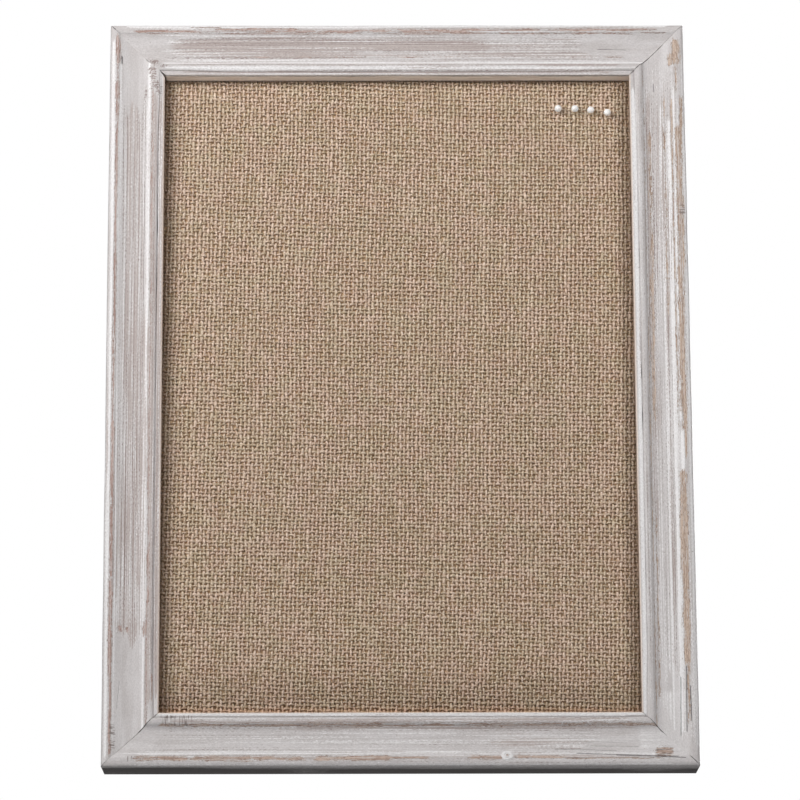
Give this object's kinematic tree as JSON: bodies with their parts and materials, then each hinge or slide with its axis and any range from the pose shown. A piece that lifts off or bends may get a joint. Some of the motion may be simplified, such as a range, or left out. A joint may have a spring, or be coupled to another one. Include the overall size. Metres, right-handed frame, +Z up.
{
  "type": "bulletin board",
  "caption": "Portrait bulletin board: burlap-covered pin panel in a whitewashed, mitred wood frame, with pearl-headed pins and a wall hanger.",
  "frame": {"origin": "on the wall plane, behind the middle notch of the sawtooth hanger", "axes": "+X right as seen from the front, +Y into the wall, +Z up"},
  "size_m": [0.33, 0.0224, 0.45],
  "materials": {
    "whitewashed_wood": "whitewashed and sanded through at the edges",
    "burlap": "natural jute plain weave",
    "softboard": "pressed fibre",
    "hardboard": "smooth pressed hardboard",
    "zinc_steel": "zinc plated",
    "needle_steel": "polished",
    "brass_plate": "brass-plated steel",
    "rubber": "matte",
    "pearl": "pearlescent"
  },
  "bodies": {
    "board": {"top_rail": "whitewashed_wood", "bottom_rail": "whitewashed_wood", "left_stile": "whitewashed_wood", "right_stile": "whitewashed_wood", "burlap_cover": "burlap", "pin_panel": "softboard", "backing_board": "hardboard", "v_nail_top_right_1": "zinc_steel", "v_nail_top_right_2": "zinc_steel", "v_nail_bottom_right_1": "zinc_steel", "v_nail_bottom_right_2": "zinc_steel", "v_nail_bottom_left_1": "zinc_steel", "v_nail_bottom_left_2": "zinc_steel", "v_nail_top_left_1": "zinc_steel", "v_nail_top_left_2": "zinc_steel", "turn_screw_top_1": "zinc_steel", "turn_screw_top_2": "zinc_steel", "turn_screw_bottom_1": "zinc_steel", "turn_screw_bottom_2": "zinc_steel", "turn_screw_right_1": "zinc_steel", "turn_screw_right_2": "zinc_steel", "turn_screw_left_1": "zinc_steel", "turn_screw_left_2": "zinc_steel", "sawtooth_hanger": "brass_plate", "hanger_nail_left": "zinc_steel", "wall_bumper_left": "rubber", "hanger_nail_right": "zinc_steel", "wall_bumper_right": "rubber"},
    "pin_1": {"pin_needle_1": "needle_steel", "pin_head_1": "pearl"},
    "pin_2": {"pin_needle_2": "needle_steel", "pin_head_2": "pearl"},
    "pin_3": {"pin_needle_3": "needle_steel", "pin_head_3": "pearl"},
    "pin_4": {"pin_needle_4": "needle_steel", "pin_head_4": "pearl"},
    "button_top_1": {"turn_button_top_1": "brass_plate"},
    "button_top_2": {"turn_button_top_2": "brass_plate"},
    "button_bottom_1": {"turn_button_bottom_1": "brass_plate"},
    "button_bottom_2": {"turn_button_bottom_2": "brass_plate"},
    "button_right_1": {"turn_button_right_1": "brass_plate"},
    "button_right_2": {"turn_button_right_2": "brass_plate"},
    "button_left_1": {"turn_button_left_1": "brass_plate"},
    "button_left_2": {"turn_button_left_2": "brass_plate"}
  },
  "joints": [
    {"name": "pin_1_pull", "type": "slide", "parent": "board", "child": "pin_1", "axis": [0, -1, 0], "range_m": [0, 0.02]},
    {"name": "pin_2_pull", "type": "slide", "parent": "board", "child": "pin_2", "axis": [0, -1, 0], "range_m": [0, 0.02]},
    {"name": "pin_3_pull", "type": "slide", "parent": "board", "child": "pin_3", "axis": [0, -1, 0], "range_m": [0, 0.02]},
    {"name": "pin_4_pull", "type": "slide", "parent": "board", "child": "pin_4", "axis": [0, -1, 0], "range_m": [0, 0.02]},
    {"name": "button_top_1_turn", "type": "hinge", "parent": "board", "child": "button_top_1", "pos_m": [-0.07, -0.0034, -0.004], "axis": [0, 1, 0], "continuous": true},
    {"name": "button_top_2_turn", "type": "hinge", "parent": "board", "child": "button_top_2", "pos_m": [0.07, -0.0034, -0.004], "axis": [0, 1, 0], "continuous": true},
    {"name": "button_bottom_1_turn", "type": "hinge", "parent": "board", "child": "button_bottom_1", "pos_m": [0.07, -0.0034, -0.418], "axis": [0, 1, 0], "continuous": true},
    {"name": "button_bottom_2_turn", "type": "hinge", "parent": "board", "child": "button_bottom_2", "pos_m": [-0.07, -0.0034, -0.418], "axis": [0, 1, 0], "continuous": true},
    {"name": "button_right_1_turn", "type": "hinge", "parent": "board", "child": "button_right_1", "pos_m": [0.147, -0.0034, -0.081], "axis": [0, 1, 0], "continuous": true},
    {"name": "button_right_2_turn", "type": "hinge", "parent": "board", "child": "button_right_2", "pos_m": [0.147, -0.0034, -0.341], "axis": [0, 1, 0], "continuous": true},
    {"name": "button_left_1_turn", "type": "hinge", "parent": "board", "child": "button_left_1", "pos_m": [-0.147, -0.0034, -0.341], "axis": [0, 1, 0], "continuous": true},
    {"name": "button_left_2_turn", "type": "hinge", "parent": "board", "child": "button_left_2", "pos_m": [-0.147, -0.0034, -0.081], "axis": [0, 1, 0], "continuous": true}
  ]
}
